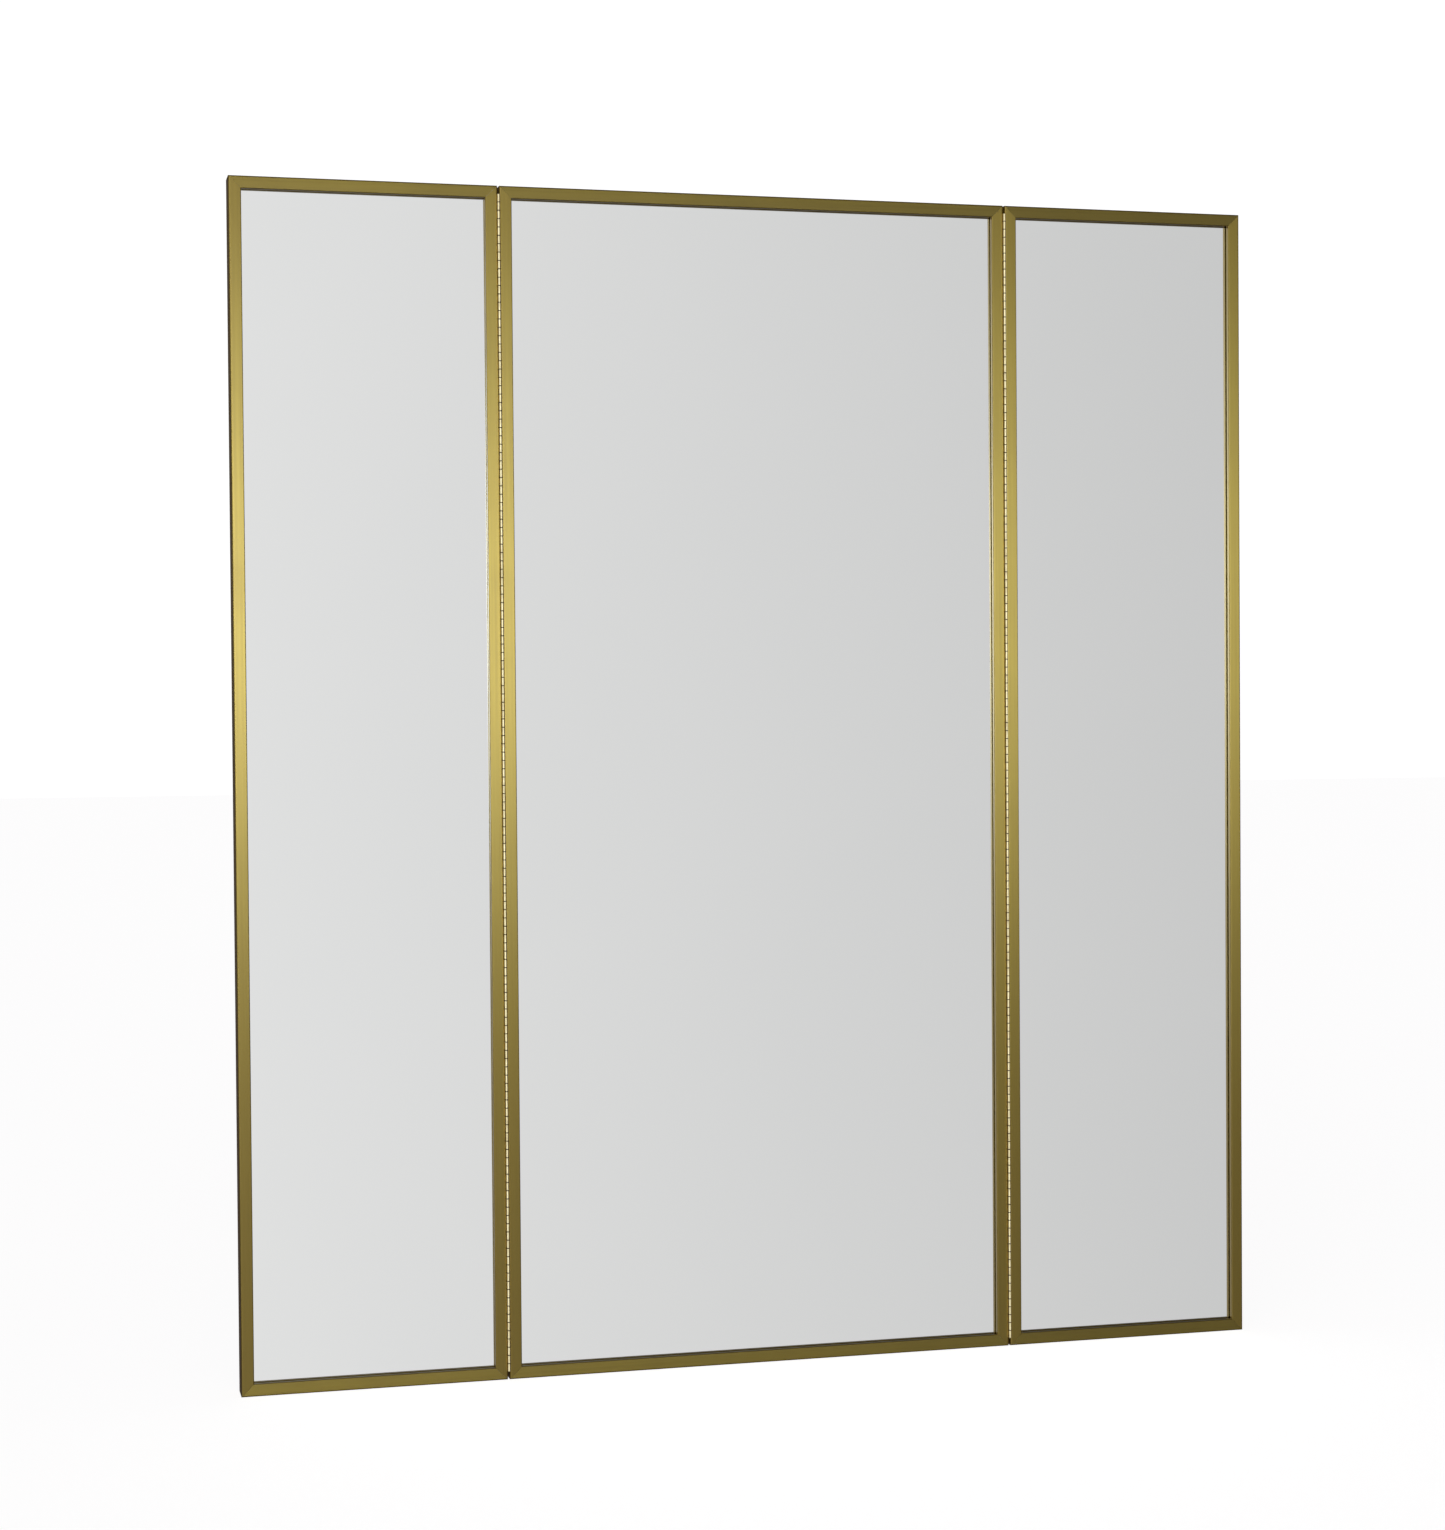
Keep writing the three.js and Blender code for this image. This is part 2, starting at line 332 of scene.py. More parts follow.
@dataclass(frozen=True)
class BrushedBrass(Finish):
    """Lacquered brass-coloured metal, brushed along the member so that light spreads across it."""

    colour: Colour = (0.61, 0.435, 0.078)
    bright_line: Colour = (0.70, 0.53, 0.13)
    tarnish: Colour = (0.42, 0.28, 0.07)
    roughness: float = 0.31
    anisotropy: float = 0.95
    lines_per_metre: float = 2200.0
    line_stretch: float = 110.0
    line_share: float = 0.45
    band_share: float = 0.16
    smudge_share: float = 0.10
    uneven: float = 0.07  # of the roughness, either way
    smudge_dulling: float = 0.02
    lacquer: float = 0.7
    lacquer_roughness: float = 0.16
    lacquer_index: float = 1.6

    def dress(self, g: Graph, shader: bpy.types.Node) -> None:
        """Wires brushed grain, faint handling marks, an anisotropic gloss and a lacquer coat.

        Args:
            g: the material's graph.
            shader: its Principled shader.
        """
        uv = g.add("ShaderNodeUVMap", uv_map=ACROSS_ALONG)
        grain = g.add("ShaderNodeGroup", {"Coordinates": uv.outputs[0],
                                          "Lines per metre": self.lines_per_metre,
                                          "Stretch": self.line_stretch}, node_tree=GRAIN)
        marks = g.add("ShaderNodeGroup", {"Coordinates": object_coordinates(g)},
                      node_tree=HANDLING)
        lined = tint(g, grain.outputs["Lines"], self.line_share,
                     (*self.colour, 1), self.bright_line)
        banded = tint(g, grain.outputs["Bands"], self.band_share, lined, self.tarnish)
        marked = tint(g, marks.outputs["Smudges"], self.smudge_share, banded, self.tarnish)
        feed(g, marked, shader, "Base Color")
        shader.inputs["Metallic"].default_value = 1.0
        rough = g.remap(grain.outputs["Bands"], 0.0, 1.0,
                        self.roughness * (1 - self.uneven), self.roughness * (1 + self.uneven))
        dulled = g.math("MULTIPLY", marks.outputs["Smudges"], self.smudge_dulling)
        smudged = g.math("ADD", rough, dulled)
        feed(g, smudged, shader, "Roughness")
        shader.inputs["Anisotropic"].default_value = self.anisotropy
        tangent = g.add("ShaderNodeTangent", direction_type="UV_MAP", uv_map=ACROSS_ALONG)
        feed(g, tangent.outputs[0], shader, "Tangent")
        shader.inputs["Coat Weight"].default_value = self.lacquer
        shader.inputs["Coat Roughness"].default_value = self.lacquer_roughness
        shader.inputs["Coat IOR"].default_value = self.lacquer_index
        roughen(g, shader, grain.outputs["Lines"])


@dataclass(frozen=True)
class RolledBrass(Finish):
    """Bright rolled hinge sheet with a little tarnish in patches."""

    colour: Colour = (0.95, 0.84, 0.52)
    tarnish: Colour = (0.56, 0.42, 0.19)
    # painted shade: a near-black laid over each knuckle's ends, standing in for the shadow in the
    # joints between knuckles
    grime: Colour = (0.10, 0.07, 0.035)
    roughness: float = 0.36
    foot: float = 0.0  # height of the lowest knuckle's foot
    knuckle_rear: float = 0.0  # the painted shade in the joints keeps to the knuckles, ahead of this
    pitch: float = 12.7 * MM  # from one joint between knuckles to the next
    grime_reach: tuple[float, float] = (0.55 * MM, 0.85 * MM)  # full and gone, from a joint
    grime_share: float = 0.9
    smudge_scale: float = 55.0
    dust_scale: float = 1500.0
    patch_share: float = 0.30
    pit_share: float = 0.35
    patch_dulling: float = 0.12
    lines_per_metre: float = 3000.0

    def dress(self, g: Graph, shader: bpy.types.Node) -> None:
        """Wires a tarnish tone, painted shade darkening the joints between knuckles, uneven gloss
        and a fine rolled grain.

        Args:
            g: the material's graph.
            shader: its Principled shader.
        """
        place = object_coordinates(g)
        marks = g.add("ShaderNodeGroup", {"Coordinates": place,
                                          "Smudge scale": self.smudge_scale,
                                          "Dust scale": self.dust_scale}, node_tree=HANDLING)
        patches = tint(g, marks.outputs["Smudges"], self.patch_share,
                       (*self.colour, 1), self.tarnish)
        pitted = tint(g, marks.outputs["Dust"], self.pit_share, patches, self.tarnish)
        parts = g.add("ShaderNodeSeparateXYZ", {0: place})
        risen = g.math("SUBTRACT", parts.outputs["Z"], self.foot)
        # painted shade: the knuckles darken towards each joint between them, in place of the shadow
        # that falls there
        from_joint = g.math("PINGPONG", risen, self.pitch / 2)
        near_joint = g.remap(from_joint, *self.grime_reach, self.grime_share, 0.0)
        on_knuckle = g.math("LESS_THAN", parts.outputs["Y"], self.knuckle_rear)
        shaded_joints = g.math("MULTIPLY", near_joint, on_knuckle)
        feed(g, g.blend(shaded_joints, pitted, (*self.grime, 1)), shader, "Base Color")
        shader.inputs["Metallic"].default_value = 1.0
        dulled = g.remap(marks.outputs["Smudges"], 0.0, 1.0,
                         self.roughness, self.roughness + self.patch_dulling)
        feed(g, dulled, shader, "Roughness")
        sheet = g.add("ShaderNodeCombineXYZ", {"X": parts.outputs["Y"], "Y": parts.outputs["Z"],
                                               "Z": parts.outputs["X"]})
        grain = g.add("ShaderNodeGroup", {"Coordinates": sheet.outputs[0],
                                          "Lines per metre": self.lines_per_metre},
                      node_tree=GRAIN)
        roughen(g, shader, grain.outputs["Lines"])


@dataclass(frozen=True)
class Silvering(Finish):
    """The silvered face of a float-glass mirror, with a trace of uneven silver."""

    colour: Colour = (0.930, 0.936, 0.932)
    uneven: Colour = (0.905, 0.915, 0.912)
    smudge_scale: float = 1.7
    uneven_share: float = 0.30

    def dress(self, g: Graph, shader: bpy.types.Node) -> None:
        """Wires a clean reflector whose tone varies very slightly.

        Args:
            g: the material's graph.
            shader: its Principled shader.
        """
        marks = g.add("ShaderNodeGroup", {"Coordinates": object_coordinates(g),
                                          "Smudge scale": self.smudge_scale},
                      node_tree=HANDLING)
        tone = tint(g, marks.outputs["Smudges"], self.uneven_share,
                    (*self.colour, 1), self.uneven)
        feed(g, tone, shader, "Base Color")
        shader.inputs["Metallic"].default_value = 1.0
        shader.inputs["Roughness"].default_value = 0.0


@dataclass(frozen=True)
class MillAluminium(Finish):
    """Bare extruded aluminium, with die lines along the extrusion."""

    colour: Colour = (0.72, 0.73, 0.74)
    die_line: Colour = (0.52, 0.53, 0.55)
    roughness: tuple[float, float] = (0.38, 0.55)
    lines_per_metre: float = 1500.0
    line_share: float = 0.5
    smudge_scale: float = 30.0

    def dress(self, g: Graph, shader: bpy.types.Node) -> None:
        """Wires die lines and dull patches.

        Args:
            g: the material's graph.
            shader: its Principled shader.
        """
        place = object_coordinates(g)
        grain = g.add("ShaderNodeGroup", {"Coordinates": place,
                                          "Lines per metre": self.lines_per_metre},
                      node_tree=GRAIN)
        marks = g.add("ShaderNodeGroup", {"Coordinates": place,
                                          "Smudge scale": self.smudge_scale},
                      node_tree=HANDLING)
        lined = tint(g, grain.outputs["Lines"], self.line_share,
                     (*self.colour, 1), self.die_line)
        feed(g, lined, shader, "Base Color")
        shader.inputs["Metallic"].default_value = 1.0
        feed(g, g.remap(marks.outputs["Smudges"], 0.0, 1.0, *self.roughness), shader, "Roughness")


class Grain(Enum):
    """Which way a batten's wood grain runs, as the order of axes across, along and through it."""

    UPRIGHT = ("X", "Z", "Y")
    LEVEL = ("Z", "X", "Y")


@dataclass(frozen=True)
class PlanedPine(Finish):
    """Planed softwood: pale early wood, darker late wood and a few fine pores."""

    runs: Grain
    early: Colour = (0.66, 0.45, 0.23)
    late: Colour = (0.44, 0.24, 0.10)
    roughness: tuple[float, float] = (0.62, 0.80)
    lines_per_metre: float = 420.0
    line_stretch: float = 40.0
    pore_share: float = 0.25
    bump_strength: float = 0.3
    bump_depth: float = 0.1 * MM

    def dress(self, g: Graph, shader: bpy.types.Node) -> None:
        """Wires growth rings stretched along the batten.

        Args:
            g: the material's graph.
            shader: its Principled shader.
        """
        parts = g.add("ShaderNodeSeparateXYZ", {0: object_coordinates(g)})
        across, along, through = (parts.outputs[axis] for axis in self.runs.value)
        turned = g.add("ShaderNodeCombineXYZ", {"X": across, "Y": along, "Z": through})
        grain = g.add("ShaderNodeGroup", {"Coordinates": turned.outputs[0],
                                          "Lines per metre": self.lines_per_metre,
                                          "Stretch": self.line_stretch}, node_tree=GRAIN)
        rings = g.blend(grain.outputs["Bands"], (*self.early, 1), (*self.late, 1))
        pores = tint(g, grain.outputs["Lines"], self.pore_share, rings, self.late)
        feed(g, pores, shader, "Base Color")
        feed(g, g.remap(grain.outputs["Lines"], 0.0, 1.0, *self.roughness), shader, "Roughness")
        roughen(g, shader, grain.outputs["Lines"], self.bump_strength, self.bump_depth)


@dataclass(frozen=True)
class PaintedBoard(Finish):
    """Fibreboard under thin black paint: a fine stipple, roller mottling and settled dust."""

    colour: Colour = (0.020, 0.020, 0.021)
    thin: Colour = (0.027, 0.026, 0.025)
    dusty: Colour = (0.13, 0.125, 0.12)
    roughness: tuple[float, float] = (0.48, 0.66)
    smudge_scale: float = 14.0
    dust_scale: float = 420.0
    dust_share: float = 0.25
    stipple_scale: float = 900.0
    bump_strength: float = 0.35
    bump_depth: float = 0.15 * MM

    def dress(self, g: Graph, shader: bpy.types.Node) -> None:
        """Wires the mottled paint and its stipple.

        Args:
            g: the material's graph.
            shader: its Principled shader.
        """
        place = object_coordinates(g)
        marks = g.add("ShaderNodeGroup", {"Coordinates": place,
                                          "Smudge scale": self.smudge_scale,
                                          "Dust scale": self.dust_scale}, node_tree=HANDLING)
        stipple = g.add("ShaderNodeTexNoise", {"Vector": place, "Scale": self.stipple_scale,
                                               "Detail": 3.0})
        mottled = g.blend(marks.outputs["Smudges"], (*self.colour, 1), (*self.thin, 1))
        specked = tint(g, marks.outputs["Dust"], self.dust_share, mottled, self.dusty)
        feed(g, specked, shader, "Base Color")
        feed(g, g.remap(stipple.outputs["Fac"], *NOISE_LIMITS, *self.roughness), shader, "Roughness")
        roughen(g, shader, stipple.outputs["Fac"], self.bump_strength, self.bump_depth)


@dataclass(frozen=True)
class ZincPlate(Finish):
    """Bright zinc plating on screws and cup washers."""

    colour: Colour = (0.70, 0.71, 0.73)
    dulled: Colour = (0.42, 0.43, 0.46)
    roughness: tuple[float, float] = (0.24, 0.40)
    smudge_scale: float = 220.0
    dull_share: float = 0.6

    def dress(self, g: Graph, shader: bpy.types.Node) -> None:
        """Wires dull spots over a satin plate.

        Args:
            g: the material's graph.
            shader: its Principled shader.
        """
        marks = g.add("ShaderNodeGroup", {"Coordinates": object_coordinates(g),
                                          "Smudge scale": self.smudge_scale},
                      node_tree=HANDLING)
        tone = tint(g, marks.outputs["Smudges"], self.dull_share,
                    (*self.colour, 1), self.dulled)
        feed(g, tone, shader, "Base Color")
        shader.inputs["Metallic"].default_value = 1.0
        feed(g, g.remap(marks.outputs["Smudges"], 0.0, 1.0, *self.roughness), shader, "Roughness")


BRUSHED = BrushedBrass("brushed_brass")
PIN_LOW, PIN_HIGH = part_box("left_hinge_pin")
ROLLED = RolledBrass("rolled_hinge_brass", foot=PIN_LOW.z,
                     knuckle_rear=(PIN_LOW.y + PIN_HIGH.y) / 2 + BEHIND_KNUCKLES)
SILVER = Silvering("mirror_silver")
ALUMINIUM = MillAluminium("mill_aluminium")
PINE = {Grain.UPRIGHT: PlanedPine("pine_upright", Grain.UPRIGHT),
        Grain.LEVEL: PlanedPine("pine_level", Grain.LEVEL)}
BLACK_BOARD = PaintedBoard("black_painted_board")
ZINC = ZincPlate("zinc_plate")


# ------------------------------------------------------------------ meshes


def make_piece(name: str, bm: bmesh.types.BMesh, finish: Finish,
               smooth: float = 35.0) -> bpy.types.Object:
    """Turns a bmesh into an object at the origin, with flat faces kept flat beside rounded ones.

    Args:
        name: the object's name.
        bm: the finished bmesh, in the frame's own axes; it is freed.
        finish: what the piece is made of.
        smooth: faces that meet at less than this many degrees are shaded smooth.

    Returns:
        The new object.
    """
    mesh = bpy.data.meshes.new(name)
    for edge in bm.edges:
        edge.smooth = len(edge.link_faces) == 2 and edge.calc_face_angle(0) < math.radians(smooth)
    for face in bm.faces:
        face.smooth = True
    bm.to_mesh(mesh)
    bm.free()
    piece = bpy.data.objects.new(name, mesh)
    bpy.context.scene.collection.objects.link(piece)
    mesh.materials.append(finish.material())
    evened = piece.modifiers.new("even_normals", "WEIGHTED_NORMAL")
    evened.keep_sharp = True
    log.info("%s: %d faces of %s", name, len(mesh.polygons), finish.name)
    return piece


def place_piece(piece: bpy.types.Object, body: str, slot: str,
                *stands_for: str) -> bpy.types.Object:
    """Sets what a piece moves with, which finish slot it takes and what it stands for.

    Args:
        piece: the piece.
        body: the body that it moves with.
        slot: its finish slot; not used.
        stands_for: the nodes that it replaces.

    Returns:
        The same piece.
    """
    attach(piece, body)
    if stands_for:
        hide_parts(*stands_for)
    return piece


def stamp(bm: bmesh.types.BMesh, pattern: bmesh.types.BMesh, places: Iterable[Matrix]) -> None:
    """Copies a small pattern into a bmesh at each place.

    Args:
        bm: the bmesh that takes the copies.
        pattern: what to copy; it is freed.
        places: where each copy goes.
    """
    mesh = bpy.data.meshes.new("pattern")
    pattern.to_mesh(mesh)
    pattern.free()
    for place in places:
        before = len(bm.verts)
        bm.from_mesh(mesh)
        bm.verts.ensure_lookup_table()
        bmesh.ops.transform(bm, matrix=place, verts=bm.verts[before:])
    bpy.data.meshes.remove(mesh)


def board(low: Vector, high: Vector, ease: float) -> bmesh.types.BMesh:
    """A flat board between two corners, with every edge eased.

    Args:
        low: its lowest corner.
        high: its highest corner.
        ease: how far each edge is rounded.

    Returns:
        The board.
    """
    bm = bmesh.new()
    size = high - low
    place = Matrix.Translation((low + high) / 2) @ Matrix.Diagonal((*size, 1))
    bmesh.ops.create_cube(bm, size=1.0, matrix=place)
    bmesh.ops.bevel(bm, geom=bm.edges[:], offset=ease, segments=2, profile=0.5,
                    affect="EDGES", material=-1)
    return bm


# ------------------------------------------------------------------ panels


@dataclass(frozen=True)
class Panel:
    """One of the three panels: the front of its node names and the body that it moves with."""

    name: str
    body: str

    @property
    def low(self) -> Vector:
        """The panel's left, front, bottom corner."""
        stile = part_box(f"{self.name}_stile_left")[0]
        return Vector((stile.x, stile.y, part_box(f"{self.name}_rail_bottom")[0].z))

    @property
    def high(self) -> Vector:
        """The panel's right, rear, top corner."""
        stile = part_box(f"{self.name}_stile_right")[1]
        return Vector((stile.x, stile.y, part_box(f"{self.name}_rail_top")[1].z))


class Member(Enum):
    """A frame's members, by the quarter turns that set each one round the panel."""

    LEFT_STILE = 0
    TOP_RAIL = 1
    RIGHT_STILE = 2
    BOTTOM_RAIL = 3

    @property
    def word(self) -> str:
        """The member's name as pieces spell it."""
        return self.name.lower()

    @property
    def node(self) -> str:
        """The member's name as node names spell it."""
        side, kind = self.word.split("_")
        return f"{kind}_{side}"

    @property
    def upright(self) -> bool:
        """Whether the member is a stile."""
        return self.value % 2 == 0

    def corner(self, low: Vector, high: Vector) -> Vector:
        """The panel corner that the member starts from, going clockwise seen from the front.

        Args:
            low: the panel's lowest corner.
            high: its highest corner.

        Returns:
            The corner.
        """
        left = self in (Member.LEFT_STILE, Member.TOP_RAIL)
        bottom = self in (Member.LEFT_STILE, Member.BOTTOM_RAIL)
        return Vector((low.x if left else high.x, low.y, low.z if bottom else high.z))


@dataclass(frozen=True)
class Extrusion:
    """The frame stock: section x runs from the panel's outer edge inwards, y from front to back."""

    face: float = 19 * MM
    depth: float = 44 * MM
    reveal: float = 8 * MM
    wall: float = 1.8 * MM
    outer_radius: float = 2.5 * MM
    inner_radius: float = 1.5 * MM
    rear_radius: float = 1.2 * MM
    lip_radius: float = 0.5 * MM
    mitre_gap: float = 0.2 * MM
    mitre_ease: float = 0.6 * MM

    def draw_section(self, bm: bmesh.types.BMesh) -> list[bmesh.types.BMFace]:
        """Draws the rounded section with its hollow front chamber, flat at z = 0.

        Args:
            bm: the bmesh to draw in.

        Returns:
            The faces between the outline and the chamber.
        """
        outline = {(0.0, 0.0): self.outer_radius, (self.face, 0.0): self.inner_radius,
                   (self.face, self.reveal): self.lip_radius, (self.wall, self.reveal): 0.0,
                   (self.wall, self.depth): 0.0, (0.0, self.depth): self.rear_radius}
        corners = [bm.verts.new((x, y, 0)) for x, y in outline]
        bm.faces.new(corners)
        for corner, radius in zip(corners, outline.values()):
            if radius:
                bmesh.ops.bevel(bm, geom=[corner], offset=radius, segments=5, profile=0.5,
                                affect="VERTICES", material=-1)
        bmesh.ops.delete(bm, geom=bm.faces[:], context="FACES_ONLY")
        bmesh.ops.create_grid(bm, x_segments=1, y_segments=1, size=0.5,
                              matrix=Matrix.Translation((self.face / 2, self.reveal / 2, 0))
                              @ Matrix.Diagonal((self.face - 2 * self.wall,
                                                 self.reveal - 2 * self.wall, 1, 1)))
        bmesh.ops.delete(bm, geom=bm.faces[:], context="FACES_ONLY")
        filled = bmesh.ops.triangle_fill(bm, use_beauty=True, edges=bm.edges[:])
        return [item for item in filled["geom"] if isinstance(item, bmesh.types.BMFace)]

    def in_chamber(self, point: Vector) -> bool:
        """Whether a point lies on the wall of the hollow chamber."""
        slack = self.wall / 2
        return (slack < point.x < self.face - slack) and (slack < point.y < self.reveal - slack)

    def cut(self, length: float) -> bmesh.types.BMesh:
        """Cuts one member along +Z, with both ends mitred and their visible edges eased.

        Args:
            length: its length along the panel's outer edge.

        Returns:
            The member, its outer edge on the Z axis.
        """
        bm = bmesh.new()
        section = self.draw_section(bm)
        raised = bmesh.ops.extrude_face_region(bm, geom=section)["geom"]
        verts = [item for item in raised if isinstance(item, bmesh.types.BMVert)]
        bmesh.ops.translate(bm, vec=(0, 0, length), verts=verts)
        cut_back = self.mitre_gap / math.sqrt(2)
        for vert in bm.verts:
            inwards = vert.co.x + cut_back
            vert.co.z = length - inwards if vert.co.z > length / 2 else inwards
        bmesh.ops.recalc_face_normals(bm, faces=bm.faces[:])
        rim = [edge for edge in bm.edges if self.on_rim(edge)]
        bmesh.ops.bevel(bm, geom=rim, offset=self.mitre_ease, segments=2, profile=0.5,
                        affect="EDGES", material=-1, clamp_overlap=True)
        self.unwrap(bm)
        return bm

    def on_rim(self, edge: bmesh.types.BMEdge) -> bool:
        """Whether an edge runs round the outside of a mitred end.

        Args:
            edge: the edge.

        Returns:
            Whether it does.
        """
        ends = [face for face in edge.link_faces if abs(face.normal.z) > 0.5]
        middle = (edge.verts[0].co + edge.verts[1].co) / 2
        return len(ends) == 1 and not self.in_chamber(middle)

    def unwrap(self, bm: bmesh.types.BMesh) -> None:
        """Gives the member its UV map: across the brushing in u and along it in v, in metres.

        Args:
            bm: the member, its outer edge on the Z axis.
        """
        layer = bm.loops.layers.uv.new(ACROSS_ALONG)
        for face in bm.faces:
            outer = face.calc_center_median().x < self.face / 2
            for loop in face.loops:
                x, y, z = loop.vert.co
                loop[layer].uv = (x - y if outer else x + y, z)


@dataclass
class MitredFrame:
    """A panel's frame: two stiles and two rails, each mitred at both ends."""

    panel: Panel
    stock: Extrusion = field(default_factory=Extrusion)

    def build(self) -> None:
        """Builds the four members over their nodes."""
        low, high = self.panel.low, self.panel.high
        for member in Member:
            length = high.z - low.z if member.upright else high.x - low.x
            bm = self.stock.cut(length)
            turned = Matrix.Rotation(member.value * QUARTER_TURN, 4, "Y")
            place = Matrix.Translation(member.corner(low, high)) @ turned
            bmesh.ops.transform(bm, matrix=place, verts=bm.verts[:])
            piece = make_piece(f"{self.panel.name}_{member.word}", bm, BRUSHED)
            place_piece(piece, self.panel.body, "frame_brass", f"{self.panel.name}_{member.node}")


@dataclass
class MirrorSheet:
    """A panel's mirror, whose silvered face is set as deep as it looks through its glass."""

    panel: Panel
    glass_index: float = 1.52
    glass_thickness: float = 4 * MM
    arris: float = 0.4 * MM

    def build(self) -> None:
        """Builds the sheet inside its node's box."""
        low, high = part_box(f"{self.panel.name}_mirror")
        low.y += self.glass_thickness / self.glass_index
        piece = make_piece(f"{self.panel.name}_mirror_sheet", board(low, high, self.arris), SILVER)
        place_piece(piece, self.panel.body, "mirror_glass", f"{self.panel.name}_mirror")


@dataclass(frozen=True)
class Screw:
    """A countersunk screw's head with a cross recess, facing +Z with its seat at z = 0."""

    head_radius: float
    shank_radius: float
    proud: float = 0.15 * MM
    rim: float = 0.25 * MM
    cone: float = 1.1 * MM
    recess_depth: float = 0.8 * MM
    recess_reach: float = 0.58  # of the head's radius
    recess_width: float = 0.13  # half of it, of the head's radius
    recess_floor: float = 0.6  # of its size at the top
    sides: int = 3
    cup_steps: int = 16

    def head(self) -> bmesh.types.BMesh:
        """Models the head from a square of nine faces, whose middle cross is the recess.

        Returns:
            The head, closed underneath.
        """
        bm = bmesh.new()
        reach = self.head_radius * self.recess_reach
        width = self.head_radius * self.recess_width
        bmesh.ops.create_grid(bm, x_segments=self.sides, y_segments=self.sides, size=reach,
                              matrix=Matrix.Translation((0, 0, self.proud)))
        for vert in bm.verts:
            for axis in (0, 1):
                if abs(vert.co[axis]) < reach / 2:
                    vert.co[axis] = math.copysign(width, vert.co[axis])
        cross = [face for face in bm.faces
                 if min(map(abs, face.calc_center_median().xy)) < width]
        for radius, height in ((self.head_radius - self.rim, self.proud), (self.head_radius, 0.0),
                               (self.shank_radius, -self.cone)):
            rim = [edge for edge in bm.edges if edge.is_boundary]
            grown = bmesh.ops.extrude_edge_only(bm, edges=rim)["geom"]
            for vert in (item for item in grown if isinstance(item, bmesh.types.BMVert)):
                vert.co = (*(vert.co.xy.normalized() * radius), height)
        bmesh.ops.edgeloop_fill(bm, edges=[edge for edge in bm.edges if edge.is_boundary])
        sunk = bmesh.ops.extrude_face_region(bm, geom=cross)["geom"]
        bmesh.ops.delete(bm, geom=cross, context="FACES")
        floor = [item for item in sunk if isinstance(item, bmesh.types.BMVert)]
        bmesh.ops.scale(bm, vec=(self.recess_floor, self.recess_floor, 1), verts=floor)
        bmesh.ops.translate(bm, vec=(0, 0, -self.recess_depth), verts=floor)
        bmesh.ops.recalc_face_normals(bm, faces=bm.faces[:])
        return bm

    def cup(self, height: float, radius: float) -> bmesh.types.BMesh:
        """Models the cup washer that the head sits in.

        Args:
            height: how far the washer's crest stands off the board.
            radius: the washer's outer radius.

        Returns:
            The washer, a closed ring on z = 0.
        """
        bm = bmesh.new()
        crest = self.head_radius + 0.25 * (radius - self.head_radius)
        profile = ((self.shank_radius, 0.0), (self.head_radius, 0.85 * height), (crest, height),
                   (0.5 * (crest + radius), 0.75 * height), (radius, 0.0))
        face = bm.faces.new([bm.verts.new((x, 0, z)) for x, z in profile])
        bmesh.ops.spin(bm, geom=[face], cent=(0, 0, 0), axis=(0, 0, 1), angle=WHOLE_TURN,
                       steps=self.cup_steps, use_merge=True)
        bmesh.ops.delete(bm, geom=[f for f in bm.faces if len(f.verts) > 4], context="FACES_ONLY")
        bmesh.ops.recalc_face_normals(bm, faces=bm.faces[:])
        return bm


@dataclass
class BackBoard:
    """The board that closes a panel's back, and the screws that hold it to the battens."""

    panel: Panel
    ease: float = 0.5 * MM
    screw: Screw = field(default_factory=lambda: Screw(3.1 * MM, 1.6 * MM))
    cup_height: float = 0.9 * MM
    cup_radius: float = 5.0 * MM
    seat: float = 0.75  # how high the head sits, of the cup's height
    most_apart: float = 300 * MM
    turn_step: float = 0.7  # from one screw's slot to the next's

    def spots(self) -> list[Vector]:
        """The screws' places: even runs along the middle of the four battens.

        Returns:
            Points on the board's rear face.
        """
        low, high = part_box(f"{self.panel.name}_back_panel")
        batten_low, batten_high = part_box(f"{self.panel.name}_batten_left")
        inset = (batten_low.x + batten_high.x) / 2 - low.x
        left, right = low.x + inset, high.x - inset
        bottom, top = low.z + inset, high.z - inset
        rows = math.ceil((top - bottom) / self.most_apart)
        columns = math.ceil((right - left) / self.most_apart)
        sides = [(x, bottom + (top - bottom) * i / rows) for x in (left, right)
                 for i in range(rows + 1)]
        ends = [(left + (right - left) * i / columns, z) for z in (bottom, top)
                for i in range(1, columns)]
        return [Vector((x, high.y, z)) for x, z in sides + ends]

    def build(self) -> None:
        """Builds the board, its cup washers and its screws."""
        name, body = self.panel.name, self.panel.body
        low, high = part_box(f"{name}_back_panel")
        piece = make_piece(f"{name}_back_board", board(low, high, self.ease), BLACK_BOARD)
        place_piece(piece, body, "back_board", f"{name}_back_panel")
        facing_back = Matrix.Rotation(-QUARTER_TURN, 4, "X")
        turns = [Matrix.Rotation(self.turn_step * i, 4, "Z") for i, _ in enumerate(self.spots())]
        seats = [Matrix.Translation(spot) @ facing_back for spot in self.spots()]
        raised = Matrix.Translation((0, 0, self.seat * self.cup_height))
        washers, screws = bmesh.new(), bmesh.new()
        stamp(washers, self.screw.cup(self.cup_height, self.cup_radius), seats)
        stamp(screws, self.screw.head(), [s @ raised @ t for s, t in zip(seats, turns)])
        for word, bm in (("cup_washers", washers), ("back_screws", screws)):
            place_piece(make_piece(f"{name}_{word}", bm, ZINC), body, "key_aluminium")


